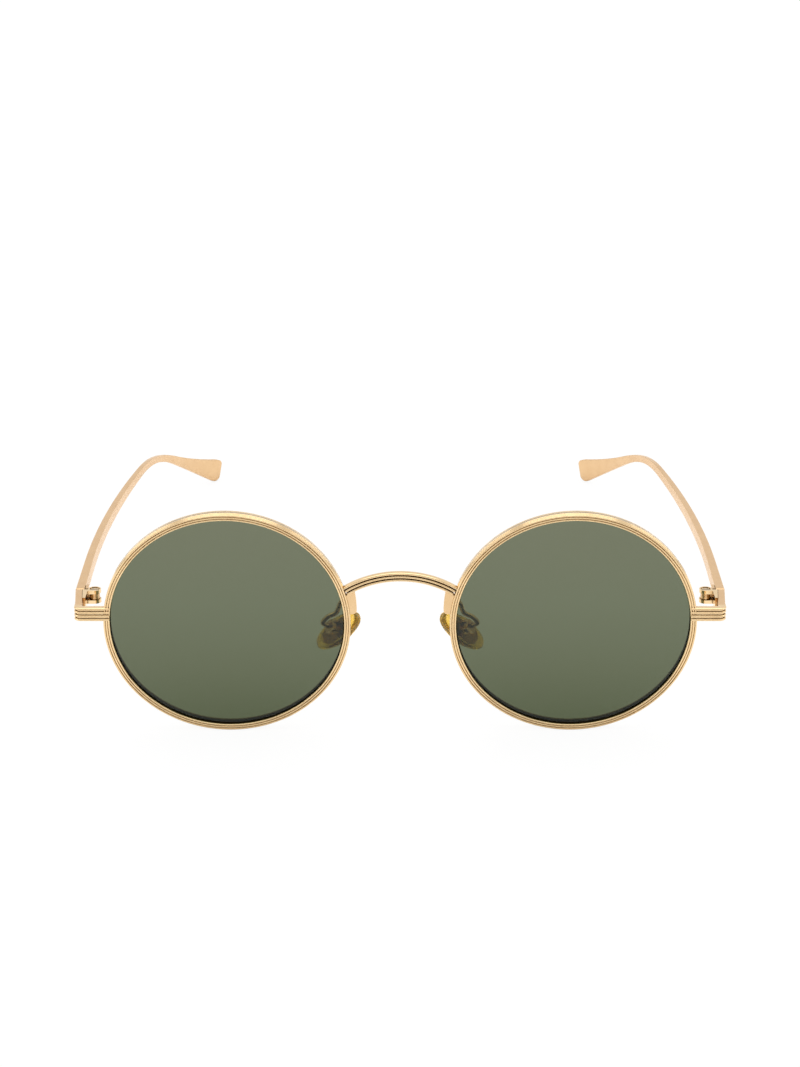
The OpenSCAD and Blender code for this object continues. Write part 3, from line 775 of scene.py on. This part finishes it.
def nose_pad():
    """A soft egg-shaped pillow: rings shrink towards both faces and its face bulges a little."""
    fullness = 0.5                                    # less makes the rim of the pillow squarer
    bulge = 0.8                                       # less makes its faces flatter
    flank = 3                                         # more makes its long sides straighter
    around = np.radians(np.linspace(0, 360, 65)[:-1])
    across, upward = np.cos(around), np.sin(around)
    half = np.where(upward < 0, PAD_W / 2, PAD_TOP_W / 2)
    shift = np.where(upward < 0, -(PAD_LEN - PAD_W) / 2, (PAD_LEN - PAD_TOP_W) / 2)
    width = PAD_W / 2 + (PAD_TOP_W - PAD_W) / 2 * (0.5 + 0.5 * upward)
    z = upward * half + shift * (1 - np.abs(across) ** flank)
    rings = []
    for step in np.radians(np.linspace(-90, 90, 25)):
        spread = max(abs(math.cos(step)) ** fullness, 0.02)
        level = math.copysign(abs(math.sin(step)) ** bulge, step) * PAD_T / 2
        x = np.full(len(around), PAD_X + level)
        rings.append(np.column_stack([x, across * width * spread, PAD_Z + z * spread]))
    points, faces = loft(np.array(rings))
    return pad.place(points), faces


def smooth_path(bends, steps):
    """A Catmull-Rom curve through the bends."""
    padded = np.array([bends[0], *bends, bends[-1]], float)
    points = []
    for i in range(1, len(padded) - 2):
        a, b, c, d = padded[i - 1 : i + 3]
        for t in np.arange(steps) / steps:
            points.append(0.5 * (2 * b + (c - a) * t + (2 * a - 5 * b + 4 * c - d) * t**2
                                 + (3 * b - a - 3 * c + d) * t**3))
    points.append(padded[-2])
    return np.array(points)


def tube(path, radius):
    """A round wire along a path, its rings carried along without twisting."""
    sides = 20
    along = np.gradient(path, axis=0)
    along /= np.linalg.norm(along, axis=1)[:, None]
    side = np.cross(along[0], (0.0, 0.0, 1.0))
    angles = np.linspace(0, 2 * math.pi, sides + 1)[:-1]
    rings = []
    for point, direction in zip(path, along):
        side = side - direction * (side @ direction)
        side /= np.linalg.norm(side)
        up = np.cross(direction, side)
        rings.append(point + radius * (np.cos(angles)[:, None] * side + np.sin(angles)[:, None] * up))
    return loft(np.array(rings))


def slab(outline, low, high):
    """A flat plate: an outline of (x, z) points, from y = low to y = high."""
    rings = [np.column_stack([outline[:, 0], np.full(len(outline), y), outline[:, 1]]) for y in (low, high)]
    return loft(np.array(rings))


def arm_tab():
    """The tab between the nose side of the rim and the underside of the bridge: its lower end is round."""
    rim_overlap, bridge_overlap = 0.3, 0.1
    outer_x = LENS_C - RIM_OUT - TAB_REACH
    under_bridge = BRIDGE_R - BRIDGE_H / 2 + bridge_overlap
    bottom_z = TAB_LOW_Z - TAB_W / 2

    def bridge_z(x):
        return BRIDGE_RISE - BRIDGE_R + math.sqrt(under_bridge**2 - x**2)

    def rim_x(z):
        return LENS_C - np.sqrt((RIM_OUT - rim_overlap) ** 2 - z**2)

    top_z = bridge_z(outer_x)
    for _ in range(6):                                # settles where the rim meets the bridge
        top_z = bridge_z(float(rim_x(top_z)))
    rim_z = np.linspace(bottom_z, top_z, 9)
    belly_z = np.linspace(bridge_z(outer_x), TAB_LOW_Z, 9)
    outline = np.vstack([
        np.column_stack([outer_x + TAB_BELLY * (belly_z - TAB_LOW_Z) ** 2, belly_z]),
        arc((outer_x + TAB_W / 2, TAB_LOW_Z), TAB_W / 2, 180, 270, 8)[1:],
        np.column_stack([rim_x(rim_z), rim_z])
    ])
    points, faces = slab(outline, -TAB_T / 2, TAB_T / 2)
    return front.place(points), faces


def pad_box():
    """The U-shaped box that holds the pad's boss, open towards the pad."""
    back = BOX_BACK_X + BOX_WALL
    half, gap = BOX_W / 2, CHEEK_GAP / 2
    outline = np.array([
        (BOX_FRONT_X, -half), (back, -half), (back, half), (BOX_FRONT_X, half),
        (BOX_FRONT_X, gap), (BOX_BACK_X, gap), (BOX_BACK_X, -gap), (BOX_FRONT_X, -gap)
    ])
    points, faces = slab(outline, -BOX_H / 2, BOX_H / 2)
    return pad.place(points[:, [0, 2, 1]]), faces


def pad_arm():
    """Tab, looping wire and pad box, soldered into one piece."""
    points, faces = tube(smooth_path(ARM_BENDS, 12), ARM_R)
    return joined(arm_tab(), (temple.place(points), faces), pad_box())


# ---------------------------------------------------------------- assembly


def build_pieces():
    """The pieces that are rebuilt for looks; each stands for the CAD node of its name."""
    # the rim's inner wall beside the lens wears the dark painted shade
    wall = (RIM_WALL_SHADE, on_inner_wall)
    both_sides("rim", rim(), RIM_GOLD, "front", "polished_gold", sharp_deg=50, second=wall)
    both_sides("lens", lens(), LENS, "front", "tinted_lens", sharp_deg=30)
    piece("bridge_skin", bridge(), POLISHED, "front", ["bridge"], "polished_gold", sharp_deg=50)
    both_sides("end_piece", end_piece(), END_GOLD, "front", "polished_gold", sharp_deg=50)
    both_sides("temple", temple_bar(), SATIN, "temple", "satin_gold", sharp_deg=50)
    both_sides("nose_pad", nose_pad(), PAD, "pad", "amber_pad", sharp_deg=80)
    both_sides("pad_arm", pad_arm(), ARM_GOLD, "front", "polished_gold", bevel=0.12)


def dress_hardware():
    """The small CAD parts stay; they get rounded edges and their metal."""
    looks = {
        "rim_lock_upper": (POLISHED, 0.15), "rim_lock_lower": (POLISHED, 0.15),
        "rim_lock_screw": (SCREW, 0.04),
        "front_hinge": (POLISHED, 0.12), "temple_hinge": (SATIN, 0.12), "hinge_screw": (SCREW, 0.05),
        # the pad insert wears the dark bronze painted shade
        "pad_screw": (SCREW, 0.04), "pad_insert": (INSERT_SHADE, 0.08)
    }
    for name, (material, bevel) in looks.items():
        for side in ("left", "right"):
            node = frame["nodes"][f"{name}_{side}"]
            node.data.materials.clear()
            node.data.materials.append(material)
            add_bevel(node, bevel)


# ---------------------------------------------------------------- stage, lights and camera


def build_stage():
    """A large flat floor at the height of the table."""
    half = 4.0
    mesh = bpy.data.meshes.new("floor")
    corners = [(-half, -half, 0), (half, -half, 0), (half, half, 0), (-half, half, 0)]
    mesh.from_pydata(corners, [], [(0, 1, 2, 3)])
    mesh.materials.append(floor_material())
    floor = bpy.data.objects.new("floor", mesh)
    bpy.context.scene.collection.objects.link(floor)


def build_world():
    """A bright studio dome, darker low down on the camera's side, so that polished ribs get dark lines."""
    nodes = Nodes(bpy.data.worlds.new("studio"), "Generated")
    greys = [(0.0, 0.16), (0.22, 0.25), (0.5, 0.95), (1.0, 1.15)]
    by_height = nodes.ramp(nodes.share_along("Z", 0.0, 1.0), greys)
    light = nodes.blended(nodes.share_along("Y", -0.6, 0.5), by_height, WHITE)
    background = nodes.shader("ShaderNodeBackground", Color=light, Strength=1.0)
    bpy.context.scene.world = nodes.finish(background, "ShaderNodeOutputWorld")


def add_softbox(name, place, size, power):
    """A rectangular lamp at a place in metres, turned to the object, with its power in watts."""
    light = bpy.data.lights.new(name, "AREA")
    light.shape = "RECTANGLE"
    light.size, light.size_y = size
    light.energy = power
    made = bpy.data.objects.new(name, light)
    bpy.context.scene.collection.objects.link(made)
    made.location = place
    made.rotation_euler = look_along(-np.array(place))


def look_along(direction):
    """Euler angles that point an object's -Z along a direction, with its X kept level."""
    x, y, z = direction / np.linalg.norm(direction)
    return (math.acos(-z), 0.0, math.atan2(y, x) - math.pi / 2)


def build_lights():
    """One large softbox overhead and a smaller one on each side."""
    add_softbox("overhead_softbox", (0.0, 0.1, 1.3), (1.6, 1.2), 9.0)
    for side, way in (("left", -1), ("right", 1)):
        add_softbox(f"{side}_softbox", (way * 1.2, -0.2, 0.7), (0.7, 0.9), 3.0)


def build_camera():
    """The photograph's viewpoint, set from the temples' directions."""
    aside_mm, distance_mm = -0.03, 550.0
    elevation = math.radians(21.92)
    pitch = math.radians(19.98)
    camera = bpy.data.cameras.new("camera")
    camera.lens = 89.1
    camera.sensor_width = 36.0
    camera.clip_start, camera.clip_end = 0.01, 20.0
    made = bpy.data.objects.new("camera", camera)
    bpy.context.scene.collection.objects.link(made)
    place = (aside_mm, -distance_mm * math.cos(elevation), distance_mm * math.sin(elevation))
    made.location = temple.place(place)
    direction = np.array([0, math.cos(pitch), -math.sin(pitch)]) @ temple.axes
    made.rotation_euler = look_along(direction)
    bpy.context.scene.camera = made


build_pieces()
dress_hardware()
build_stage()
build_world()
build_lights()
build_camera()
bpy.context.scene.view_settings.view_transform = "Standard"
